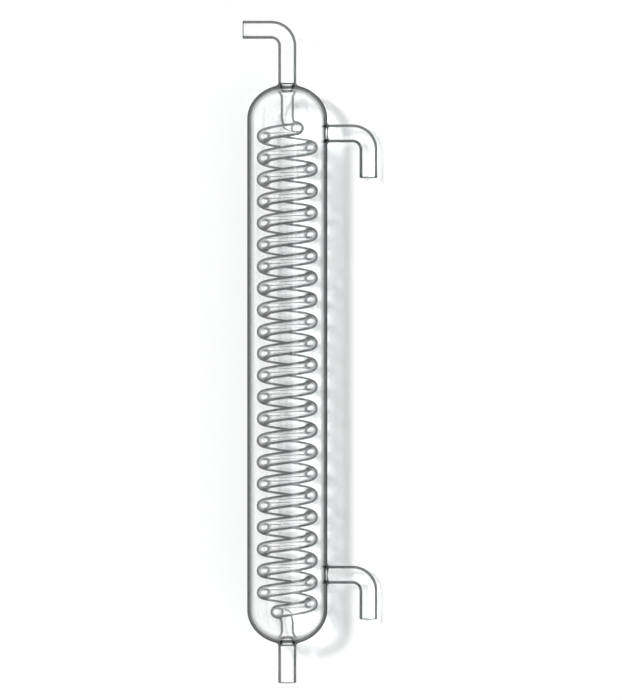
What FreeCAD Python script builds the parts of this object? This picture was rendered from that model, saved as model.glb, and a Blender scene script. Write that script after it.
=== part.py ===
"""Coil condenser of borosilicate glass, flame-sealed from six lengths of tube.

A long jacket with domed ends holds a coiled tube. Vapour enters the bent stem at the top, runs down
through the coil and drips from the straight stem at the bottom. Cooling water enters the lower side
arm, fills the jacket round the coil and leaves by the upper one. The finished condenser is one fused
piece of glass with nothing that moves; each solid here is one of the tubes it is sealed from, and
they meet face to face at their seals.

The condenser is drawn upright, with its axis on Z, its mid-length at the origin and both side arms
towards +X. It can't stand by itself, so at the end it is laid on a bench as it comes to rest, on its
jacket and on the two arms, with its axis along Y and its top towards +Y. Lengths are millimetres.
"""

import FreeCAD
import Part
import math
import os
from FreeCAD import Vector

# Jacket: a wide tube whose two ends are drawn in to half-ellipsoid domes
JACKET_OD = 40.0
JACKET_WALL = 1.7
JACKET_STRAIGHT = 245.5
DOME_RISE = 17.2

# Stock tube of the stems and the side arms
TUBE_OD = 9.0
TUBE_WALL = 1.2
ELBOW_RADIUS = 8.0

# Stock tube of the coil
COIL_TUBE_OD = 6.5
COIL_TUBE_WALL = 1.0
COIL_TURNS = 22
COIL_TO_JACKET = 3.0

# Where the coil's tube leaves the axis, measured inwards from the ends of the jacket's straight run
COIL_TOP_SET_BACK = 6.1
COIL_BOTTOM_SET_BACK = 0.46

# Ring seals: each stem goes through the crown of a dome, with melted glass drawn up round it outside
# and in, and is then pulled down in the flame to the size of the coil's tube
SEAL_BLEND = 1.3
SEAL_BLEND_INSIDE = 0.9
SEAL_LIFT = 0.2
STEM_INSIDE = 1.5
TAPER_LENGTH = 3.0

# Cut tube ends, whose edges the flame takes off
RIM_BEVEL = 0.4

# The coil's many turns are drawn with flats, so that they stay light: flats round the tube, and
# straight lengths in each turn
COIL_FLATS = 8
COIL_LENGTHS = 14

# Stems, measured from the crown of the dome each one leaves
TOP_STEM_RISE = 27.35
TOP_STEM_REACH = 22.3
BOTTOM_STEM_DROP = 19.3

# Side arms, measured from the jacket's axis and from the ends of its straight run
ARM_REACH = 40.6
ARM_DROP = 22.2
UPPER_ARM_SET_BACK = 7.3
LOWER_ARM_SET_BACK = 17.55

jacket_radius = JACKET_OD / 2
jacket_bore = jacket_radius - JACKET_WALL
half_straight = JACKET_STRAIGHT / 2
crown = half_straight + DOME_RISE
tube_radius = TUBE_OD / 2
tube_bore = tube_radius - TUBE_WALL
coil_tube_radius = COIL_TUBE_OD / 2
coil_tube_bore = coil_tube_radius - COIL_TUBE_WALL
coil_radius = jacket_bore - COIL_TO_JACKET - coil_tube_radius
taper_top = crown - JACKET_WALL - STEM_INSIDE
coil_end = taper_top - TAPER_LENGTH
upper_arm_height = half_straight - UPPER_ARM_SET_BACK
lower_arm_height = LOWER_ARM_SET_BACK - half_straight
inner_rise = DOME_RISE - JACKET_WALL

UP = Vector(0, 0, 1)
OUT = Vector(1, 0, 0)
CENTRE = Vector(0, 0, 0)


def disc(centre, normal, radius):
    """A flat round face."""
    return Part.Face(Part.Wire(Part.makeCircle(radius, centre, normal)))


def at(radius, height):
    """A point of an outline that is to be turned about the condenser's axis."""
    return Vector(radius, 0, height)


def line(start, end):
    return Part.LineSegment(start, end).toShape()


def curve(*poles):
    """A smooth curve that leaves its first pole for the second and arrives at its last pole."""
    bezier = Part.BezierCurve()
    bezier.setPoles(list(poles))
    return bezier.toShape()


def turned(edges):
    """The solid swept by a closed outline turned once about the condenser's axis."""
    outline = Part.Wire(Part.__sortEdges__(edges))
    return Part.Face(outline).revolve(CENTRE, UP, 360)


def nearest_rim(body, point):
    """The closed edge of a body whose middle is nearest a point."""
    rims = [edge for edge in body.Edges if edge.isClosed()]
    return min(rims, key=lambda edge: (edge.CenterOfMass - point).Length)


def elbow_path(start, corner, end):
    """A path with one quarter-round bend at its corner."""
    back = (start - corner).normalize()
    onward = (end - corner).normalize()
    bend_start = corner + back * ELBOW_RADIUS
    bend_end = corner + onward * ELBOW_RADIUS
    middle = corner + (back + onward) * (ELBOW_RADIUS * (1 - math.sqrt(0.5)))
    bend = Part.Arc(bend_start, middle, bend_end).toShape()
    return Part.Wire([line(start, bend_start), bend, line(bend_end, end)])


def fire_polished(tube, mouth):
    """Takes off both edges of a cut tube end, as the flame does."""
    rims = [
        edge
        for edge in tube.Edges
        if edge.isClosed() and (edge.CenterOfMass - mouth).Length < 0.01
    ]
    return tube.makeChamfer(RIM_BEVEL, rims)


def dome_height(radius, rise, reach):
    """How high a dome of the given size stands at a distance from the axis."""
    return half_straight + rise * math.sqrt(1 - (reach / radius) ** 2)


def dome_arc(radius, rise, inner, outer):
    """The part of a dome's outline between two distances from the axis."""
    ellipse = Part.Ellipse(at(radius, half_straight), at(0, half_straight + rise), UP * half_straight)
    first = ellipse.parameter(at(outer, dome_height(radius, rise, outer)))
    last = ellipse.parameter(at(inner, dome_height(radius, rise, inner)))
    return Part.ArcOfEllipse(ellipse, first, last).toShape()


def jacket():
    """The wide outer tube: its wall is drawn in to a dome at each end, with a round hole at each crown
    for a stem and one under each side arm."""
    outside = dome_arc(jacket_radius, DOME_RISE, tube_radius, jacket_radius)
    inside = dome_arc(jacket_bore, inner_rise, tube_radius, jacket_bore)
    crown_hole = line(
        at(tube_radius, dome_height(jacket_radius, DOME_RISE, tube_radius)),
        at(tube_radius, dome_height(jacket_bore, inner_rise, tube_radius)),
    )
    upper_end = [outside, crown_hole, inside]
    lower_end = [edge.mirror(CENTRE, UP) for edge in upper_end]
    sides = [
        line(at(radius, half_straight), at(radius, -half_straight))
        for radius in (jacket_radius, jacket_bore)
    ]
    wall = turned(upper_end + sides + lower_end)
    for height in (upper_arm_height, lower_arm_height):
        wall = wall.cut(Part.makeCylinder(tube_bore, JACKET_OD, UP * height, OUT))
    return wall


def sealed_stem(end):
    """A straight stem from a height above the upper dome, through its crown, to the coil's tube."""
    outer = dome_height(jacket_radius, DOME_RISE, tube_radius)
    inner = dome_height(jacket_bore, inner_rise, tube_radius)
    foot = tube_radius + SEAL_BLEND
    foot_inside = tube_radius + SEAL_BLEND_INSIDE
    taper_middle = (taper_top + coil_end) / 2
    return turned([
        line(at(tube_bore, end), at(tube_radius, end)),
        line(at(tube_radius, end), at(tube_radius, outer + SEAL_BLEND)),
        curve(
            at(tube_radius, outer + SEAL_BLEND),
            at(tube_radius, outer + SEAL_LIFT),
            at(foot, dome_height(jacket_radius, DOME_RISE, foot)),
        ),
        dome_arc(jacket_radius, DOME_RISE, tube_radius, foot),
        line(at(tube_radius, outer), at(tube_radius, inner)),
        dome_arc(jacket_bore, inner_rise, tube_radius, foot_inside),
        curve(
            at(foot_inside, dome_height(jacket_bore, inner_rise, foot_inside)),
            at(tube_radius, inner - SEAL_LIFT),
            at(tube_radius, inner - SEAL_BLEND_INSIDE),
        ),
        line(at(tube_radius, inner - SEAL_BLEND_INSIDE), at(tube_radius, taper_top)),
        curve(
            at(tube_radius, taper_top),
            at(tube_radius, taper_middle),
            at(coil_tube_radius, taper_middle),
            at(coil_tube_radius, coil_end),
        ),
        line(at(coil_tube_radius, coil_end), at(coil_tube_bore, coil_end)),
        curve(
            at(coil_tube_bore, coil_end),
            at(coil_tube_bore, taper_middle),
            at(tube_bore, taper_middle),
            at(tube_bore, taper_top),
        ),
        line(at(tube_bore, taper_top), at(tube_bore, end)),
    ])


def top_stem():
    """The vapour's way in: sealed through the upper crown, then bent away from the side arms."""
    start = UP * (crown + TOP_STEM_RISE - ELBOW_RADIUS)
    corner = UP * (crown + TOP_STEM_RISE)
    mouth = corner - OUT * TOP_STEM_REACH
    bent = elbow_path(start - UP, corner, mouth)
    outside = bent.makePipe(disc(start - UP, UP, tube_radius))
    bore = bent.makePipe(disc(start - UP, UP, tube_bore))
    stem = sealed_stem(start.z - 1).fuse(outside.cut(bore)).removeSplitter()
    return fire_polished(stem, mouth)


def bottom_stem():
    """The condensate's way out: straight down from the lower crown."""
    end = crown + BOTTOM_STEM_DROP
    stem = sealed_stem(end).mirror(CENTRE, UP)
    return fire_polished(stem, UP * -end)


def side_arm(height):
    """A hose connection: its root is melted on to the jacket's wall round the hole there, and one
    elbow turns it down along the jacket."""
    start = Vector(jacket_bore, 0, height)
    corner = Vector(ARM_REACH, 0, height)
    mouth = corner - UP * ARM_DROP
    path = elbow_path(start, corner, mouth)
    wall = Part.makeCylinder(jacket_radius, JACKET_OD, UP * (height - jacket_radius), UP)
    wall.rotate(CENTRE, UP, 180)
    arm = wall.fuse(path.makePipe(disc(start, OUT, tube_radius)))
    seal = nearest_rim(arm, Vector(jacket_radius, 0, height))
    arm = arm.makeFillet(SEAL_BLEND, [seal]).cut(wall)
    arm = arm.cut(path.makePipe(disc(start, OUT, tube_bore)))
    return fire_polished(arm, mouth)


def coil_path():
    """Corner points of the coil's centre line: a right-hand helix whose two ends swing in to the axis
    on a tighter helix of the same slope, then bend round to run along the axis to the stems."""
    top = half_straight - COIL_TOP_SET_BACK
    bottom = COIL_BOTTOM_SET_BACK - half_straight
    pitch = (top - bottom) / COIL_TURNS
    slope = math.atan2(pitch, 2 * math.pi * coil_radius)
    step = 2 * math.pi / COIL_LENGTHS

    turns = []
    for i in range(COIL_TURNS * COIL_LENGTHS + 1):
        side = Vector(math.sin(i * step), -math.cos(i * step), 0)
        turns.append(side * coil_radius + UP * (bottom + pitch * i / COIL_LENGTHS))

    swing_radius = coil_radius * (math.sqrt(2) - 1)
    swing_turn = math.radians(135)
    swing_steps = math.ceil(swing_turn / step)
    bend_radius = swing_radius / (1 - math.sin(slope))
    heading = Vector(math.cos(swing_turn), math.sin(swing_turn), 0)
    lead = []
    for i in range(1, swing_steps + 1):
        turn = swing_turn * i / swing_steps
        side = Vector(math.sin(turn), -math.cos(turn), 0) * swing_radius
        rise = swing_radius * turn * math.tan(slope)
        lead.append(side + Vector(0, swing_radius - coil_radius, rise))
    bend_turn = math.pi / 2 - slope
    bend_steps = math.ceil(bend_turn / step)
    bend_start = lead[-1]
    for i in range(1, bend_steps + 1):
        turn = slope + bend_turn * i / bend_steps
        onward = bend_radius * (math.sin(turn) - math.sin(slope))
        rise = bend_radius * (math.cos(slope) - math.cos(turn))
        lead.append(bend_start + heading * onward + UP * rise)

    upper = [point + UP * top for point in lead]
    lower = [Vector(-point.x, point.y, bottom - point.z) for point in reversed(lead)]
    return [UP * -coil_end] + lower + turns + upper + [UP * coil_end]


def mitred_sections(path, radius):
    """The sections of a flat-sided tube at the corners of its path, each cut on the mitre there, so
    that every flat of every length is plane."""
    along = [(b - a).normalize() for a, b in zip(path, path[1:])]
    corners = []
    for i in range(COIL_FLATS):
        angle = 2 * math.pi * i / COIL_FLATS
        corners.append(path[0] + Vector(math.cos(angle), math.sin(angle), 0) * radius)
    sections = [corners]
    for i in range(1, len(path)):
        mitre = along[i - 1] + along[min(i, len(along) - 1)]
        reach = along[i - 1].dot(mitre)
        corners = [c + along[i - 1] * ((path[i] - c).dot(mitre) / reach) for c in corners]
        sections.append(corners)
    return sections


def flats(sections):
    """The flat faces between each section and the next."""
    faces = []
    for near, far in zip(sections, sections[1:]):
        for i in range(COIL_FLATS):
            corners = [near[i - 1], near[i], far[i], far[i - 1]]
            faces.append(Part.Face(Part.makePolygon(corners, True)))
    return faces


def coil():
    """The wound tube, hollow from end to end, between the two stems."""
    path = coil_path()
    outside = mitred_sections(path, coil_tube_radius)
    bore = [corners[::-1] for corners in mitred_sections(path, coil_tube_bore)]
    ends = [
        Part.Face([Part.makePolygon(outside[0][::-1], True), Part.makePolygon(bore[0][::-1], True)]),
        Part.Face([Part.makePolygon(outside[-1], True), Part.makePolygon(bore[-1], True)]),
    ]
    return Part.Solid(Part.makeShell(flats(outside) + flats(bore) + ends))


def laid_on_bench(solids):
    """Lays the upright condenser down on its jacket and its two side arms, with the middle of its
    footprint at the origin and the bench at Z = 0."""
    roll = math.degrees(math.asin((jacket_radius - tube_radius) / ARM_REACH))
    lying = FreeCAD.Rotation(Vector(0, 1, 0), roll).multiply(
        FreeCAD.Rotation(Vector(1, 0, 0), -90)
    )
    for solid in solids.values():
        solid.Placement = FreeCAD.Placement(CENTRE, lying).multiply(solid.Placement)
    box = Part.makeCompound(list(solids.values())).optimalBoundingBox(False, False)
    shift = Vector(-(box.XMin + box.XMax) / 2, -(box.YMin + box.YMax) / 2, jacket_radius)
    for solid in solids.values():
        solid.translate(shift)


def main():
    solids = {
        "outer_jacket": jacket(),
        "inner_coil": coil(),
        "end_stems": Part.makeCompound([top_stem(), bottom_stem()]),
        "side_arms": Part.makeCompound([side_arm(upper_arm_height), side_arm(lower_arm_height)]),
    }
    laid_on_bench(solids)
    os.makedirs("parts", exist_ok=True)
    for node, solid in solids.items():
        print(node, len(solid.Solids), "solids", round(solid.Volume, 1), "mm3", solid.isValid())
        solid.exportStep(f"parts/{node}.step")


main()
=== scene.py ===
# %% [markdown]
# Coil condenser of borosilicate glass. On a real one a glassblower seals a coil of thin tube into a
# wide jacket, and the flame makes all of it one piece. So the pieces here are modelled one by one, as
# the glassblower has them on the bench, and are then bridged and merged into a single closed skin of
# glass. A light ray needs that: a seam inside the glass would show as a line that isn't there.
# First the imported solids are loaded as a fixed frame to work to, and their box is kept.

# %% Load the frame
import math

import bmesh
import bpy
from mathutils import Matrix, Vector


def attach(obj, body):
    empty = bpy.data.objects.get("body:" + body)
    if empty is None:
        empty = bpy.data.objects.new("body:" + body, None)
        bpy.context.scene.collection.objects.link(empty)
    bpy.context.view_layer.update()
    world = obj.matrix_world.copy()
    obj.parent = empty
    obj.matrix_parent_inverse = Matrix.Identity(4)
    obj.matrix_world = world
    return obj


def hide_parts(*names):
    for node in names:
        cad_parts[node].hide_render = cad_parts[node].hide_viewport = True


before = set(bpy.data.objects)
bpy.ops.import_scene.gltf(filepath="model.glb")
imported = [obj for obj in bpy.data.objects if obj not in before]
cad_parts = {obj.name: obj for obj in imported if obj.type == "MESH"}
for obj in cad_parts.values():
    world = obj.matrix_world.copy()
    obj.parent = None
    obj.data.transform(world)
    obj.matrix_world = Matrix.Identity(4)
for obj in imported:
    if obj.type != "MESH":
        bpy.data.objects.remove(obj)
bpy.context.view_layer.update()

# %% [markdown]
# The condenser lies on the bench on its jacket and its two side arms. It is easier to model upright,
# with its axis on Z, its middle at the origin and the arms towards +X, because then every ring is level
# and every bend turns about a plain axis. Everything below is upright, and the finished glass is laid
# down at the end. Lengths are written in millimetres, as a glassblower's drawing has them, and every
# width is a radius, from the middle of the tube.
#
# A tube is modelled as a lathe hand or a glassblower thinks of it: a ring that is drawn along and made
# wider or narrower on the way. A cylinder would be quicker, but it would have to be cut open and bent
# afterwards. Before a new ring is started everything else is let go, because an operator acts on all
# that is selected.

# %% Start a ring
MM = 0.001


def up(height):
    """A step straight up the axis."""
    return Vector((0, 0, height))


def let_go():
    """Leaves edit mode and deselects every object."""
    if bpy.context.mode != "OBJECT":
        bpy.ops.object.mode_set(mode="OBJECT")
    bpy.ops.object.select_all(action="DESELECT")


def start_ring(name, count, radius, centre, turn=(0, 0, 0)):
    """A new mesh with one ring, its object at the origin, left in edit mode with the ring selected."""
    let_go()
    bpy.ops.mesh.primitive_circle_add(
        vertices=count, radius=radius * MM, location=Vector(centre) * MM, rotation=turn
    )
    piece = bpy.context.object
    piece.name = name
    bpy.ops.object.transform_apply(location=True, rotation=True, scale=True)
    bpy.ops.object.mode_set(mode="EDIT")
    bpy.ops.mesh.select_mode(type="VERT")
    bpy.ops.mesh.select_all(action="SELECT")
    return piece


print("a ring can be started; a length of one is", MM, "m")

# %% [markdown]
# The ring in hand is drawn on by an extrusion and a resize about its own centre, and turned round an
# elbow by a spin. Both could be done to the vertices in code, but the operators make the faces between
# the rings as well, and leave the new ring selected for the next step. With no window open a transform
# ignores the pivot setting, so its centre is worked out and given.

# %% Draw a ring on
in_hand = []


def mesh_in_hand():
    """The mesh in edit mode, kept in a list because its vertices are lost when nothing holds it."""
    in_hand[:] = [bmesh.from_edit_mesh(bpy.context.object.data)]
    return in_hand[0]


def held():
    """The selected vertices."""
    return [v for v in mesh_in_hand().verts if v.select]


def ring_centre():
    """The middle of the selected ring, in millimetres."""
    ring = held()
    return sum((v.co for v in ring), Vector()) / len(ring) / MM


def draw_on(step, widen=1.0):
    """Extrudes the selected ring by a step and widens it about its own centre."""
    step = Vector(step) * MM
    bpy.ops.mesh.extrude_region_move(TRANSFORM_OT_translate={"value": step})
    if widen != 1.0:
        bpy.ops.transform.resize(value=(widen,) * 3, center_override=ring_centre() * MM)


def turn_round(angle, centre, axis, steps):
    """Spins the selected ring round an elbow, right-handed about its axis; the operator turns left."""
    bpy.ops.mesh.spin(steps=steps, angle=-angle, center=Vector(centre) * MM, axis=Vector(axis))


def profile(points, radius):
    """Draws the selected level ring on through (radius, height) points, starting from its own radius."""
    for wide, height in points:
        draw_on(up(height - ring_centre().z), wide / radius)
        radius = wide


print("a ring can be drawn on, turned round an elbow and drawn through a profile")

# %% [markdown]
# The jacket is a wide tube whose ends are drawn in to half-ellipsoid domes. Its wall has two skins, the
# outside and the water side, and each is one lathe profile: it starts near the crown, widens over the
# dome, runs down the straight wall and closes in over the other dome. A dome could come from half a
# sphere, stretched, but its pole would have to be cut out again for the stem. On the straight wall the
# rows are placed so that they frame the side arms' roots.

# %% Outline of the jacket
JACKET = 20.0
JACKET_BORE = 18.3
SHOULDER = 122.75
DOME_RISE = 17.2
INNER_RISE = 15.5
NEAR_CROWN = 8.4
DOME_STEPS = 14
ARM_HEIGHTS = (115.45, -105.2)
WINDOW = 7.3
WINDOW_FACES = 8
ROWS_BETWEEN = 12


def dome_rings(radius, rise):
    """Radius and height of a dome's rings, from near its crown to its shoulder."""
    first = math.asin(NEAR_CROWN / radius)
    angles = [first + (math.pi / 2 - first) * i / DOME_STEPS for i in range(DOME_STEPS + 1)]
    return [(radius * math.sin(a), SHOULDER + rise * math.cos(a)) for a in angles]


def wall_rows():
    """Heights of the rows of the straight wall, from below the upper shoulder to the lower one."""
    high, low = ARM_HEIGHTS
    down = [WINDOW - 2 * WINDOW * i / WINDOW_FACES for i in range(1, WINDOW_FACES + 1)]
    rows = [high + step for step in down]
    gap = low + WINDOW - rows[-1]
    rows += [rows[-1] + gap * i / ROWS_BETWEEN for i in range(1, ROWS_BETWEEN + 1)]
    rows += [low + step for step in down]
    return rows + [(rows[-1] - SHOULDER) / 2, -SHOULDER]


print("rows of the straight wall:", len(wall_rows()))

# %% [markdown]
# Each skin is that outline, turned. A spin of the drawn outline would make it too, but would leave a
# seam to merge. A ring that is drawn on through the outline has no seam, and is made as every tube here
# is. Round each arm's root eight faces by eight are then taken out as a window for the seal.

# %% Jacket skins
ROUND_JACKET = 64


def jacket_skin(name, radius, rise):
    """One side of the jacket's wall, open at both crowns and under both arms."""
    cap = dome_rings(radius, rise)
    below = [(wide, -height) for wide, height in reversed(cap[:-1])]
    piece = start_ring(name, ROUND_JACKET, cap[0][0], up(cap[0][1]))
    profile(cap[1:] + [(radius, row) for row in wall_rows()] + below, cap[0][0])
    bpy.ops.mesh.select_mode(type="FACE")
    bpy.ops.mesh.select_all(action="DESELECT")
    for face in mesh_in_hand().faces:
        place = face.calc_center_median() / MM
        aside = math.atan2(place.y, place.x)
        beside = abs(aside) < math.pi * WINDOW_FACES / ROUND_JACKET
        if beside and any(abs(place.z - height) < WINDOW for height in ARM_HEIGHTS):
            face.select_set(True)
    bpy.ops.mesh.delete(type="FACE")
    let_go()
    return piece


skins = [
    jacket_skin("jacket_outside", JACKET, DOME_RISE),
    jacket_skin("jacket_water_side", JACKET_BORE, INNER_RISE),
]
print("jacket skins:", [len(s.data.polygons) for s in skins], "faces")

# %% [markdown]
# A cut tube end has sharp edges, so the glassblower holds it in the flame until the rim melts round. A
# bevel would round it too, but it would have to be matched to the wall. Here the ring is drawn on over a
# half round from the tube's outside to its bore, a little flatter than a half circle. So the outside,
# the rim and the bore stay one chain of rings, and the tube ends exactly where it is cut.

# %% Fire-polished rim
TUBE = 4.5
TUBE_BORE = 3.3
RIM_DEPTH = 0.5
RIM_STEPS = 8


def rim(direction):
    """Draws a ring of the tube's outside on over the rim and into the bore."""
    middle = (TUBE + TUBE_BORE) / 2
    half = (TUBE - TUBE_BORE) / 2
    wide = TUBE
    reach = 0.0
    for i in range(1, RIM_STEPS + 1):
        angle = math.pi * i / RIM_STEPS
        onward = RIM_DEPTH * math.sin(angle)
        width = middle + half * math.cos(angle)
        draw_on(Vector(direction) * (onward - reach), width / wide)
        wide = width
        reach = onward


print("rim of", round(TUBE - TUBE_BORE, 2), "mm wall")

# %% [markdown]
# The root of a side arm is melted on to the jacket round a blown hole. The seal leaves a small flare
# outside and a rounded edge inside, and both follow the jacket's round. A boolean could cut the arm into
# the jacket, but would leave a sharp crease there. So the arm's first and last rings are not flat: each
# vertex is set on the jacket's skin, and the seal's quarter round starts from there.

# %% Rings at an arm's root
def root_ring(skin, foot, blend, angle):
    """Sets the selected ring on the quarter round between the jacket's skin and the arm's tube."""
    for vertex in held():
        _, y, z = vertex.co / MM
        around = math.atan2(z, y)
        wide = foot - blend * math.sin(angle)
        surface = math.sqrt(skin**2 - (foot * math.cos(around)) ** 2)
        out = surface + blend * (1 - math.cos(angle))
        vertex.co = Vector((out, wide * math.cos(around), wide * math.sin(around))) * MM
    bmesh.update_edit_mesh(bpy.context.object.data)


def flat_ring(x):
    """Sets the selected ring flat across the arm at a distance from the axis."""
    for vertex in held():
        vertex.co.x = x * MM
    bmesh.update_edit_mesh(bpy.context.object.data)


print("a ring can be set on the jacket's round")

# %% [markdown]
# A side arm is a short tube with one elbow, on which a hose is pushed. It could be a curve with a round
# bevel, but then its ends couldn't take the seal's and the rim's shapes. So it is one chain of rings: out
# from the jacket, round the elbow by a spin, down the leg, over the rim, and back the same way along the
# bore. It is modelled at height nought, where its root is easiest to set on the jacket.

# %% Side arms
SEAL = 1.3
ROOT_ROUND = 0.6
ROOT_STEPS = 6
PAST_SEAL = 23.5
ELBOW = 8.0
ELBOW_STEPS = 14
ARM_REACH = 40.6
ARM_DROP = 22.2
ROUND_TUBE = 32


def side_arm(name):
    """An arm at height nought, open at both ends of its root."""
    elbow = ARM_REACH - ELBOW
    leg = ARM_DROP - RIM_DEPTH - ELBOW
    foot = TUBE + SEAL
    piece = start_ring(name, ROUND_TUBE, foot, (0, 0, 0), (0, math.pi / 2, 0))
    root_ring(JACKET, foot, SEAL, 0)
    for i in range(1, ROOT_STEPS + 1):
        draw_on((0, 0, 0))
        root_ring(JACKET, foot, SEAL, math.pi / 2 * i / ROOT_STEPS)
    draw_on((1, 0, 0))
    flat_ring(PAST_SEAL)
    draw_on((elbow - PAST_SEAL, 0, 0))
    turn_round(math.pi / 2, (elbow, 0, -ELBOW), (0, 1, 0), ELBOW_STEPS)
    draw_on(up(-leg))
    rim((0, 0, -1))
    draw_on(up(leg))
    turn_round(-math.pi / 2, (elbow, 0, -ELBOW), (0, 1, 0), ELBOW_STEPS)
    draw_on((PAST_SEAL - elbow, 0, 0))
    foot = TUBE_BORE + ROOT_ROUND
    for i in range(ROOT_STEPS, -1, -1):
        draw_on((0, 0, 0))
        root_ring(JACKET_BORE, foot, ROOT_ROUND, math.pi / 2 * i / ROOT_STEPS)
    let_go()
    return piece


upper_arm = side_arm("upper_arm")
print("side arm:", len(upper_arm.data.polygons), "faces; its reach", round(ARM_REACH + TUBE, 2), "mm")

# %% [markdown]
# Both arms are alike, the water's way in below and its way out above. An Array modifier could repeat the
# arm too, but there are only two, and each is soon sealed on. So the second is a copy with a mesh of its
# own, and each mesh is moved to its height.

# %% Both arms in place
def copied(piece, name, matrix):
    """A copy with its own mesh, moved by a matrix that is applied to the mesh."""
    other = piece.copy()
    other.data = piece.data.copy()
    other.name = name
    bpy.context.collection.objects.link(other)
    other.data.transform(matrix)
    return other


lower_arm = copied(upper_arm, "lower_arm", Matrix.Translation(up(ARM_HEIGHTS[1]) * MM))
upper_arm.data.transform(Matrix.Translation(up(ARM_HEIGHTS[0]) * MM))
print("arms at", ARM_HEIGHTS, "mm")

# %% [markdown]
# A ring seal carries each stem through the crown of its dome. Melted glass is drawn up round the stem
# outside and down round it inside, so both skins flare into the tube. Below the crown the stem is pulled
# down in the flame to the size of the coil's tube. Both shapes could be drawn freehand as curves, but as
# points that are worked out from the sizes they always meet the dome and the coil.

# %% Shapes that the flame leaves
COIL_TUBE = 3.25
COIL_BORE = 2.25
TAPER_TOP = 136.75
TAPER_END = 133.75
TAPER_STEPS = 8


def dome(radius, rise, wide):
    """How high a dome stands at a distance from the axis."""
    return SHOULDER + rise * math.sqrt(1 - (wide / radius) ** 2)


def bent(start, pull, end, steps):
    """Points of a smooth bend from a start to an end, pulled towards a third point."""
    points = []
    for i in range(1, steps + 1):
        t = i / steps
        share = ((1 - t) ** 2, 2 * t * (1 - t), t**2)
        points.append(tuple(sum(s * p[k] for s, p in zip(share, (start, pull, end))) for k in (0, 1)))
    return points


def pulled_down(wide, narrow):
    """Points of a tube that the flame pulls from one radius down to another."""
    points = []
    for i in range(1, TAPER_STEPS + 1):
        t = i / TAPER_STEPS
        ease = t * t * (3 - 2 * t)
        points.append((wide + (narrow - wide) * ease, TAPER_TOP + (TAPER_END - TAPER_TOP) * t))
    return points


print("stem pulled down from", TUBE, "to", COIL_TUBE, "mm over", TAPER_TOP - TAPER_END, "mm")

# %% [markdown]
# The vapour comes in at the bent stem on top and leaves at the straight one below. Each is one chain of
# rings again: up from the crown's flare, round the elbow if there is one, over the rim and back down the
# bore to the coil. The flare is a smooth bend, pulled to just off the corner where dome and tube would
# meet. The lower stem could be drawn downwards, but built upwards it shares the upper one's root and
# bore, and is then turned over.

# %% Stems
CROWN = SHOULDER + DOME_RISE
TOP_BEND = CROWN + 27.35
TOP_REACH = 22.3
BOTTOM_END = -CROWN - 19.3
FLARE_STEPS = 7
OFF_CORNER = 0.2
ABOVE_ROOT = 3


def stem_root(name):
    """The outside of a stem from the crown's flare to a little above it, left in hand."""
    foot = TUBE + SEAL
    root = dome(JACKET, DOME_RISE, TUBE)
    start = (foot, dome(JACKET, DOME_RISE, foot))
    piece = start_ring(name, ROUND_TUBE, foot, up(start[1]))
    flare = bent(start, (TUBE, root + OFF_CORNER), (TUBE, root + SEAL), FLARE_STEPS)
    profile(flare + [(TUBE, root + ABOVE_ROOT)], foot)
    return piece


def down_the_bore():
    """Draws a stem's bore on from above the crown to the coil's tube, and lets the stem go."""
    profile([(TUBE_BORE, TAPER_TOP)] + pulled_down(TUBE_BORE, COIL_BORE), TUBE_BORE)
    let_go()


top_stem = stem_root("top_stem")
elbow_height = TOP_BEND - ELBOW
elbow_centre = (-ELBOW, 0, elbow_height)
end_piece = TOP_REACH - RIM_DEPTH - ELBOW
draw_on(up(elbow_height - ring_centre().z))
turn_round(-math.pi / 2, elbow_centre, (0, 1, 0), ELBOW_STEPS)
draw_on((-end_piece, 0, 0))
rim((-1, 0, 0))
draw_on((end_piece, 0, 0))
turn_round(math.pi / 2, elbow_centre, (0, 1, 0), ELBOW_STEPS)
down_the_bore()

bottom_stem = stem_root("bottom_stem")
draw_on(up(-BOTTOM_END - RIM_DEPTH - ring_centre().z))
rim((0, 0, 1))
down_the_bore()
bottom_stem.data.transform(Matrix.Rotation(math.pi, 4, "Y"))
print("stems:", len(top_stem.data.polygons), "and", len(bottom_stem.data.polygons), "faces")
print("overall height", round(TOP_BEND + TUBE - BOTTOM_END, 2), "mm")

# %% [markdown]
# In the water space the jacket's inner skin runs into the stem's outside and on to the coil. A Solidify
# modifier could give the crown a wall, but then the inside would copy the outer flare, which goes up the
# stem, and the real one goes down it and is smaller. So this side of the seal is a chain of its own,
# made once and turned over for the other end.

# %% Water side of the ring seals
SEAL_INSIDE = 0.9
INSIDE_STEPS = 6

foot = TUBE + SEAL_INSIDE
root = dome(JACKET_BORE, INNER_RISE, TUBE)
start = (foot, dome(JACKET_BORE, INNER_RISE, foot))
top_seal = start_ring("top_seal", ROUND_TUBE, foot, up(start[1]))
flare = bent(start, (TUBE, root - OFF_CORNER), (TUBE, root - SEAL_INSIDE), INSIDE_STEPS)
profile(flare + [(TUBE, TAPER_TOP)] + pulled_down(TUBE, COIL_TUBE), foot)
let_go()
bottom_seal = copied(top_seal, "bottom_seal", Matrix.Rotation(math.pi, 4, "Y"))
print("water side of a seal:", len(top_seal.data.polygons), "faces")

# %% [markdown]
# The coil is wound hot on a mandrel, turn beside turn, so it is a true helix. A Screw modifier is the
# same motion: two rings, the tube's outside and its bore, tilted square to the slope of the winding, are
# carried round and up together for all the turns. It could be a curve with a bevel too, but the screw
# keeps every ring alike and the grid straight.

# %% Coil
COIL_RADIUS = 12.05
COIL_TURNS = 22
COIL_LOW = -122.29
COIL_HIGH = 116.65
TURN_STEPS = 40
pitch = (COIL_HIGH - COIL_LOW) / COIL_TURNS
slope = math.atan2(pitch, 2 * math.pi * COIL_RADIUS)


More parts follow.
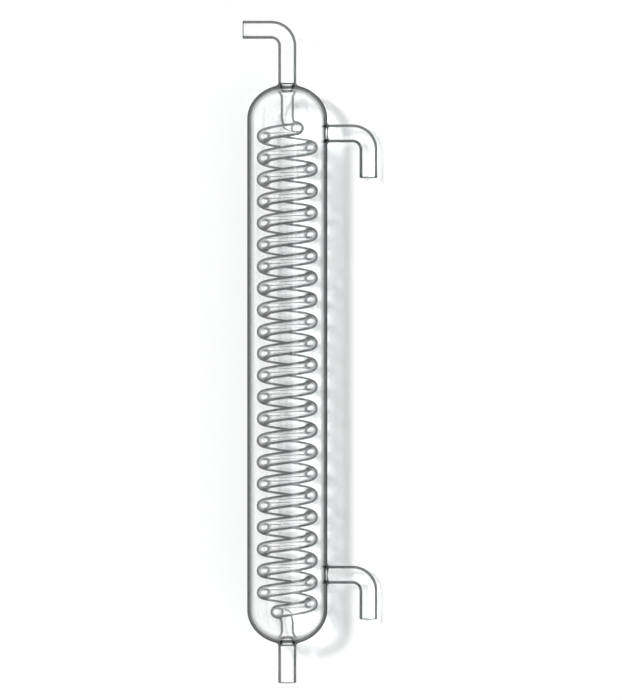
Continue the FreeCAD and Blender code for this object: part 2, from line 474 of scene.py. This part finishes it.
def tube_section(name, height):
    """The coil's outside and bore as two rings at the front of a turn, square to the winding."""
    place = Vector((0, -COIL_RADIUS, height))
    square = (0, math.pi / 2 - slope, 0)
    piece = start_ring(name, ROUND_TUBE, COIL_TUBE, place, square)
    bpy.ops.mesh.primitive_circle_add(
        vertices=ROUND_TUBE, radius=COIL_BORE * MM, location=place * MM, rotation=square
    )
    bpy.ops.mesh.select_all(action="SELECT")
    return piece


coil = tube_section("coil", COIL_LOW)
let_go()
screw = coil.modifiers.new("turns", "SCREW")
screw.axis = "Z"
screw.angle = 2 * math.pi
screw.steps = screw.render_steps = TURN_STEPS
screw.iterations = COIL_TURNS
screw.screw_offset = pitch * MM
bpy.context.view_layer.objects.active = coil
bpy.ops.object.modifier_apply(modifier="turns")
print("coil:", COIL_TURNS, "turns of", round(pitch, 3), "mm,", len(coil.data.polygons), "faces")

# %% [markdown]
# Each end of the coil swings in to the axis on a tighter turn of the same slope, then bends up into the
# stem. This lead-in takes the most skill on the real piece, because the tube must come out dead on the
# axis for the ring seal. A curve could carry the tube there, but its rings would have to be turned to
# meet the coil's. Here it is the last ring of the coil itself, turned in small steps about the tighter
# turn's centre and raised with each, and then spun through the bend. After a swing of 135 degrees the
# tube heads straight for the axis, and the tighter turn's radius is as long as the way that is left,
# which the bend takes up. It is made once and turned over for the lower end.

# %% Lead-ins
SWING_STEPS = 12
BEND_STEPS = 12
swing = COIL_RADIUS * (math.sqrt(2) - 1)
swing_turn = math.radians(135)
step_turn = swing_turn / SWING_STEPS
lead = tube_section("top_lead", COIL_HIGH)
for _ in range(SWING_STEPS):
    draw_on((0, 0, 0))
    bpy.ops.transform.rotate(
        value=-step_turn, orient_axis="Z", center_override=(0, (swing - COIL_RADIUS) * MM, 0)
    )
    bpy.ops.transform.translate(value=up(swing * math.tan(slope) * step_turn) * MM)
heading = Vector((math.cos(swing_turn), math.sin(swing_turn), 0))
along = heading * math.cos(slope) + up(math.sin(slope))
inward = up(math.cos(slope)) - heading * math.sin(slope)
bend = swing / (1 - math.sin(slope))
turn_round(math.pi / 2 - slope, ring_centre() + inward * bend, along.cross(inward), BEND_STEPS)
print("lead-in ends at", [round(c, 3) for c in ring_centre()])
let_go()
over = up(COIL_HIGH + COIL_LOW) * MM
low_lead = copied(lead, "low_lead", Matrix.Translation(over) @ Matrix.Rotation(math.pi, 4, "Y"))

# %% [markdown]
# Now the flame: every seal is melted into one body. The pieces could stay objects of their own that just
# touch, but each would be open where it meets the next, and light would go wrong there. So they are
# joined into one mesh first, and the coil's lead-ins, whose rings lie exactly on the coil's own, are
# merged with it by distance.

# %% Join the pieces
MERGE = 0.005

let_go()
parts = [*skins, upper_arm, lower_arm, top_stem, bottom_stem, top_seal, bottom_seal, coil, lead, low_lead]
for part in parts:
    part.select_set(True)
bpy.context.view_layer.objects.active = skins[0]
bpy.ops.object.join()
glass = bpy.context.object
glass.name = "condenser_glass"
bpy.ops.object.mode_set(mode="EDIT")
bpy.ops.mesh.select_mode(type="VERT")
bpy.ops.mesh.select_all(action="SELECT")
bpy.ops.mesh.remove_doubles(threshold=MERGE * MM)
print("one mesh of", len(mesh_in_hand().verts), "vertices")

# %% [markdown]
# Then each pair of open rims that a seal closes is bridged. A boolean union would join the pieces as
# well, but it leaves slivers where round walls meet, and glass shows every one. A pair of rims is found
# by its height and by its distance from the axis: the table gives the range of both, at the upper end.
# At an arm the rims are the window in the jacket's skin and the arm's root, and both lie on that skin. A
# bridge runs straight from rim to rim, a little inside the round, so there it gets some cuts, and the
# new vertices are set back on the jacket's round.

# %% Bridge the seals
CROWN_SEALS = {
    "crown, outside": ((138, 140), (5, 9)),
    "crown, water side": ((135, 138), (5, 9)),
    "stem to coil, outside": ((120, 134), (3, 3.5)),
    "stem to coil, bore": ((120, 134), (2, 2.5)),
}
ARM_ZONE = 8
ARM_CUTS = 3
NEAR_SKIN = 0.01
ON_ROUND = 0.0001
CHORD_DEPTH = 0.5


def from_axis(place):
    """How far a point of the mesh is from the axis, in millimetres."""
    return math.hypot(place.x, place.y) / MM


def bridge(heights, widths, cuts=0):
    """Bridges the two open rims that lie between two heights and between two widths."""
    bpy.ops.mesh.select_mode(type="EDGE")
    bpy.ops.mesh.select_all(action="DESELECT")
    count = 0
    for edge in mesh_in_hand().edges:
        inside = all(
            heights[0] < v.co.z / MM < heights[1] and widths[0] < from_axis(v.co) < widths[1]
            for v in edge.verts
        )
        if edge.is_boundary and inside:
            edge.select_set(True)
            count += 1
    bpy.ops.mesh.bridge_edge_loops(number_cuts=cuts)
    return count


def back_on_round(radius):
    """Sets what a bridge left inside the jacket's round back on it, beside the arms."""
    for vertex in held():
        wide = from_axis(vertex.co)
        if radius - CHORD_DEPTH < wide < radius - ON_ROUND:
            vertex.co.x *= radius / wide
            vertex.co.y *= radius / wide
    bmesh.update_edit_mesh(bpy.context.object.data)


for side in (1, -1):
    for seal, (heights, widths) in CROWN_SEALS.items():
        print(seal, "bridged, edges:", bridge(sorted(side * h for h in heights), widths))
for height in ARM_HEIGHTS:
    zone = (height - ARM_ZONE, height + ARM_ZONE)
    for radius in (JACKET, JACKET_BORE):
        edges = bridge(zone, (radius - NEAR_SKIN, radius + NEAR_SKIN), ARM_CUTS)
        back_on_round(radius)
        print("arm at", height, "mm, skin of", radius, "mm bridged, edges:", edges)

# %% [markdown]
# The result must be closed, or light would not know inside from outside. So the faces are turned to
# point outwards, the open edges are counted and the volume is measured. By eye one could look for gaps
# in the viewport, but a count of nought is sure. The faces on the four melted rims are noted, because
# their glass gets a look of its own.

# %% Close the glass
def at_a_mouth(place):
    """Whether a point, in millimetres, is on the melted rim of one of the four open ends."""
    on_leg = place.x > JACKET + TUBE and any(
        ARM_DROP - RIM_DEPTH < height - place.z < ARM_DROP for height in ARM_HEIGHTS
    )
    return on_leg or place.x < RIM_DEPTH - TOP_REACH or place.z < BOTTOM_END + RIM_DEPTH


bpy.ops.mesh.select_mode(type="FACE")
bpy.ops.mesh.select_all(action="SELECT")
bpy.ops.mesh.normals_make_consistent(inside=False)
still_open = sum(not edge.is_manifold for edge in mesh_in_hand().edges)
volume = mesh_in_hand().calc_volume(signed=True) / MM**3
let_go()
rims = [face.index for face in glass.data.polygons if at_a_mouth(face.center / MM)]
print("open edges:", still_open, " volume:", round(volume), "mm3,", len(glass.data.polygons), "faces")
print("faces on melted rims:", len(rims))

# %% [markdown]
# The glass is laid on the bench as it comes to rest: rolled about its axis until both arms touch, with
# the axis along Y. The object could be turned and moved instead, but then its patterns would turn with
# it. So the turn and the place are applied to the mesh, and the object stays at the origin as the packed
# solids do. The glass is smooth all over, because even its rims are melted round. It stands for all four
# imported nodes, which are the tubes before they are sealed.

# %% Lay it down
JACKET_MIDDLE = Vector((-9.9243, -6.275, JACKET)) * MM
roll = math.asin((JACKET - TUBE) / ARM_REACH)
along_x = (math.cos(roll), 0, -math.sin(roll))
along_y = (-math.sin(roll), 0, -math.cos(roll))
lying = Matrix((along_x, along_y, (0, 1, 0))).transposed().to_4x4()
glass.data.transform(Matrix.Translation(JACKET_MIDDLE) @ lying)
glass.data.update()
glass.select_set(True)
bpy.context.view_layer.objects.active = glass
bpy.ops.object.shade_smooth()
let_go()
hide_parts("outer_jacket", "inner_coil", "end_stems", "side_arms")
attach(glass, "root")
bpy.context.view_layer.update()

# %% [markdown]
# The photograph is a line drawing: an orthographic front view at half a millimetre a pixel. An
# orthographic camera would give just that, but a very long lens three metres away sees almost the same,
# as a photographer's would. The drawing looks square at the plane of the side arms, and the condenser
# has been rolled on to them, so the camera leans by the same angle and its picture is upright along the
# condenser. The jacket's middle is put at the pixel where the drawing has it.

# %% Camera
PIXEL = 0.5
FRAME_SIZE = (622, 700)
AXIS_AT = (287.3, 364.36)
DISTANCE = 3.0
FARTHEST = 50

viewer = Vector((math.sin(roll), 0, math.cos(roll)))
right = Vector(along_x)
upward = Vector((0, 1, 0))
middle = JACKET_MIDDLE + right * (FRAME_SIZE[0] / 2 - AXIS_AT[0]) * PIXEL * MM
middle += upward * (AXIS_AT[1] - FRAME_SIZE[1] / 2) * PIXEL * MM
bpy.ops.object.camera_add()
camera = bpy.context.object
camera.name = "camera"
camera.data.lens = camera.data.sensor_width * DISTANCE / (FRAME_SIZE[1] * PIXEL * MM)
camera.data.clip_end = FARTHEST
facing = Matrix((right, upward, viewer)).transposed().to_4x4()
camera.matrix_world = Matrix.Translation(middle + viewer * DISTANCE) @ facing
bpy.context.scene.camera = camera
print("lens", round(camera.data.lens, 1), "mm, camera", [round(c, 3) for c in camera.location])

# %% [markdown]
# A material is a small net of nodes. The nodes could be added, set and linked a line at a time, but with
# one function for all of that a net reads as a list of what feeds what. Another function turns a colour
# written as on paper, in hex, to the linear light that Blender reckons in.

# %% Helpers for materials
def linear(hex_colour):
    """An sRGB hex colour as linear red, green, blue and an alpha of one."""
    shares = [int(hex_colour[i : i + 2], 16) / 255 for i in (1, 3, 5)]
    return (*(s / 12.92 if s <= 0.04045 else ((s + 0.055) / 1.055) ** 2.4 for s in shares), 1.0)


def node(tree, kind, settings=None, **inputs):
    """Adds a node; inputs are values, or sockets to link, by the input's name with _ for a space."""
    made = tree.nodes.new("ShaderNode" + kind)
    for key, value in (settings or {}).items():
        setattr(made, key, value)
    for key, value in inputs.items():
        socket = made.inputs[int(key[1:]) if key[0] == "_" else key.replace("_", " ")]
        if isinstance(value, bpy.types.NodeSocket):
            tree.links.new(value, socket)
        else:
            socket.default_value = value
    return made


def blank_material(name):
    """A material with an empty net, and its output node."""
    made = bpy.data.materials.new(name)
    made.use_nodes = True
    made.node_tree.nodes.clear()
    return made, made.node_tree, made.node_tree.nodes.new("ShaderNodeOutputMaterial")


print("mid grey of a screen in linear light:", [round(c, 3) for c in linear("#808080")])

# %% [markdown]
# Glass tube is drawn, which leaves fine lines along it, and the flame leaves its surface a little wavy.
# Scratches and lines could be a picture laid on the tube, but a noise pattern stretched along the axis
# gives them at any size. Real lines are a few tenths of a millimetre wide. They are drawn 2.5 mm wide
# here, because finer ones would be lost between the pixels. They grey the jacket's wall and the arms by
# a trace, and are left off all that is nearer the axis, because on the coil they would have to run round
# with the tube. In the relief the waves count three times as much as the lines.

# %% Skin of a drawn tube
LINES_MM = 2.5
LINES_LONG_MM = 80
LINES_FROM_AXIS = JACKET_BORE - 1
CREST_FROM = 0.5
CREST_FULL = 0.75
WAVES_MM = 18
WAVES_TO_LINES = 3.0
RELIEF_MM = 0.05
RELIEF_SHARE = 0.25


def drawn_tube(tree):
    """The normal of a drawn tube's skin, and the share of its drawn lines, from nought to one."""
    place = node(tree, "TexCoord").outputs["Object"]
    across = 1 / (LINES_MM * MM)
    squeeze = (across, 1 / (LINES_LONG_MM * MM), across)
    stretched = node(tree, "Mapping", Vector=place, Scale=squeeze).outputs["Vector"]
    lines = node(tree, "TexNoise", Vector=stretched, Scale=1.0, Detail=2.0).outputs["Fac"]
    waves = node(tree, "TexNoise", Vector=place, Scale=1 / (WAVES_MM * MM), Detail=1.0)
    height = node(
        tree,
        "Math",
        {"operation": "MULTIPLY_ADD"},
        _0=waves.outputs["Fac"],
        _1=WAVES_TO_LINES,
        _2=lines,
    )
    bump = node(
        tree,
        "Bump",
        Strength=RELIEF_SHARE,
        Distance=RELIEF_MM * MM,
        Height=height.outputs["Value"],
    )
    to_axis = (-JACKET_MIDDLE.x, 0, -JACKET_MIDDLE.z)
    level = node(tree, "Mapping", Vector=place, Location=to_axis, Scale=(1, 0, 1)).outputs["Vector"]
    distance = node(tree, "VectorMath", {"operation": "LENGTH"}, _0=level).outputs["Value"]
    outside_coil = node(
        tree, "Math", {"operation": "GREATER_THAN"}, _0=distance, _1=LINES_FROM_AXIS * MM
    )
    crests = node(
        tree,
        "MapRange",
        {"interpolation_type": "SMOOTHSTEP"},
        Value=lines,
        From_Min=CREST_FROM,
        From_Max=CREST_FULL,
        To_Max=outside_coil.outputs["Value"],
    )
    return bump.outputs["Normal"], crests.outputs["Result"]


print("drawn lines", LINES_MM, "mm wide, waves", WAVES_MM, "mm long")

# %% [markdown]
# Clear borosilicate glass, melted smooth. It bends light by 1.473 and has next to no colour. What shows
# it on a white bench is its edges: where one looks along the surface, or where the wall catches the
# light inside and throws it back. The Glass shader does the bending. A volume that takes up light would
# grey such long paths only a little, because this glass takes up so little. So the edges get painted
# shade: the glass's colour is painted darker by the shares that Fresnel and Facing give, somewhat darker
# than on the clearest real glass, to read as the drawing's lines do. Where light is caught inside it is
# painted grey, and the painted edge shade starts where Facing passes a half and is nearly black at the
# outline.
#
# Lamps should shine through glass, so rays to a lamp pass it, dimmed most where they graze it, because
# real glass bends them away there and leaves a dark line in its shadow.

# %% Borosilicate glass
BENDS_LIGHT = 1.473
# Where the painted shade on the glass's edges starts and where it is full.
PAINTED_GREY_FROM = 0.6
PAINTED_EDGE_SHADE_FROM = 0.5
PAINTED_EDGE_SHADE_FULL = 0.95


def borosilicate_glass(name, colour):
    """Clear glass that tints light by a colour at each crossing, with painted shade greying it at its
    edges.
    """
    made, tree, out = blank_material(name)
    normal, lines = drawn_tube(tree)
    lined = node(
        tree,
        "Mix",
        {"data_type": "RGBA", "blend_type": "MULTIPLY"},
        _0=lines,
        _6=linear(colour),
        _7=linear("#F6F8F8"),
    ).outputs[2]
    # Painted shade: where Fresnel gives a large share, the glass's colour is painted grey.
    mirrored = node(tree, "Fresnel", IOR=BENDS_LIGHT, Normal=normal).outputs["Fac"]
    painted_grey_share = node(tree, "MapRange", Value=mirrored, From_Min=PAINTED_GREY_FROM).outputs["Result"]
    lines_and_painted_grey = node(
        tree, "Mix", {"data_type": "RGBA"}, _0=painted_grey_share, _6=lined, _7=linear("#6C7070")
    ).outputs[2]
    # Painted shade: from half Facing out to the outline, the glass's colour is painted nearly black.
    along = node(tree, "LayerWeight", Blend=0.5, Normal=normal).outputs["Facing"]
    edge = node(
        tree,
        "MapRange",
        {"interpolation_type": "SMOOTHSTEP"},
        Value=along,
        From_Min=PAINTED_EDGE_SHADE_FROM,
        From_Max=PAINTED_EDGE_SHADE_FULL,
    ).outputs["Result"]
    lines_and_painted_shade = node(
        tree, "Mix", {"data_type": "RGBA"}, _0=edge, _6=lines_and_painted_grey, _7=linear("#101212")
    ).outputs[2]
    clear = node(tree, "BsdfGlass", Color=lines_and_painted_shade, Roughness=0.0, IOR=BENDS_LIGHT, Normal=normal)
    grazed = node(tree, "Math", {"operation": "POWER"}, _0=along, _1=2.0).outputs["Value"]
    dimmed = node(
        tree, "Mix", {"data_type": "RGBA"}, _0=grazed, _6=linear("#FBFCFC"), _7=linear("#2E3232")
    ).outputs[2]
    passed = node(tree, "BsdfTransparent", Color=dimmed)
    to_lamp = node(tree, "LightPath").outputs["Is Shadow Ray"]
    glassy = node(
        tree, "MixShader", _0=to_lamp, _1=clear.outputs["BSDF"], _2=passed.outputs["BSDF"]
    )
    tree.links.new(glassy.outputs["Shader"], out.inputs["Surface"])
    return made


print("light is caught inside past", round(math.degrees(math.asin(1 / BENDS_LIGHT)), 1), "degrees")

# %% [markdown]
# Nearly all of the condenser is clear, fire-polished glass. Only the melted rims of the four open ends
# are darker, because there one looks along the wall. They could be a piece of their own, but that would
# open the glass again, so the noted faces take a second material slot.

# %% Finish the glass
glass.data.materials.clear()
glass.data.materials.append(borosilicate_glass("borosilicate_glass_fire_polished", "#FFFFFF"))
glass.data.materials.append(borosilicate_glass("borosilicate_glass_melted_rim", "#848C8B"))
for index in rims:
    glass.data.polygons[index].material_index = 1
print("glass finished:", [m.name for m in glass.data.materials])

# %% [markdown]
# The condenser lies on a bench that is covered with white paper. It could lie on a curved backdrop, as
# for a portrait, but seen from above a flat sheet fills the view.

# %% Bench
BENCH_SIZE = 24
BENCH_LOW = 0.2

let_go()
bpy.ops.mesh.primitive_plane_add(size=BENCH_SIZE, location=up(-BENCH_LOW) * MM)
bench = bpy.context.object
bench.name = "bench"
print("bench laid,", BENCH_SIZE, "m wide")

# %% [markdown]
# Matt white paper scatters light evenly and has no gloss, so it is rough and has no specular part. The
# drawing's ground is plain white. Stronger lamps would make the paper whiter, but would bleach the glass
# too. So it has a little light of its own, only towards the camera and through glass, and it shows as
# white paper does while the condenser's shadow stays on it.

# %% White paper
LIFT = 0.14


def seen_by_eye(tree):
    """One for a ray that comes from the camera, straight or through or off glass; nought for light."""
    path = node(tree, "LightPath").outputs
    straight = node(
        tree, "Math", {"operation": "ADD"}, _0=path["Is Camera Ray"], _1=path["Is Glossy Ray"]
    )
    return node(
        tree,
        "Math",
        {"operation": "ADD", "use_clamp": True},
        _0=straight.outputs["Value"],
        _1=path["Is Transmission Ray"],
    ).outputs["Value"]


def matt_white_paper():
    """Rough white without gloss, and the small lift that only the eye sees."""
    made, tree, out = blank_material("matt_white_paper")
    lift = node(tree, "Math", {"operation": "MULTIPLY"}, _0=seen_by_eye(tree), _1=LIFT)
    paper = node(
        tree,
        "BsdfPrincipled",
        Base_Color=linear("#F2F2F2"),
        Roughness=0.9,
        Specular_IOR_Level=0.0,
        Emission_Color=linear("#FFFFFF"),
        Emission_Strength=lift.outputs["Value"],
    )
    tree.links.new(paper.outputs["BSDF"], out.inputs["Surface"])
    return made


bench.data.materials.append(matt_white_paper())
print("bench finished:", [m.name for m in bench.data.materials])

# %% [markdown]
# Plain soft studio light: a softbox above and to the upper left, a weaker and wider one from the right,
# and the room, which lights the bench as grey walls do and looks white to the eye. Area lamps would be
# the usual choice, but near ones light a bench unevenly. These softboxes stand so far off that their
# light is even all over it, so each is a sun lamp as wide across the sky as the softbox would be. A ray
# here crosses up to a dozen skins of glass and is caught in some, so it is followed for twice as many
# bounces as usual.

# %% Lights
BOUNCES = 24


def softbox(name, place, across, strength):
    """A far softbox in the direction of a place, as wide as an angle in degrees."""
    bpy.ops.object.light_add(type="SUN", location=place)
    lamp = bpy.context.object
    lamp.name = name
    lamp.data.angle = math.radians(across)
    lamp.data.energy = strength
    lamp.rotation_euler = (-Vector(place)).to_track_quat("-Z", "Y").to_euler()


softbox("key_softbox", (-0.7, 0.8, 2.5), across=11, strength=2.1)
softbox("fill_softbox", (1.9, -0.7, 1.8), across=35, strength=0.5)
room = bpy.data.worlds.new("pale_room")
room.use_nodes = True
net = room.node_tree
net.nodes.clear()
walls = node(
    net,
    "Mix",
    {"data_type": "RGBA"},
    _0=seen_by_eye(net),
    _6=linear("#8E8F90"),
    _7=linear("#FFFFFF"),
).outputs[2]
light = node(net, "Background", Color=walls, Strength=1.0).outputs["Background"]
net.links.new(light, net.nodes.new("ShaderNodeOutputWorld").inputs["Surface"])
bpy.context.scene.world = room
bpy.context.scene.cycles.max_bounces = BOUNCES
bpy.context.scene.cycles.transmission_bounces = BOUNCES
bpy.context.scene.view_settings.view_transform = "Standard"
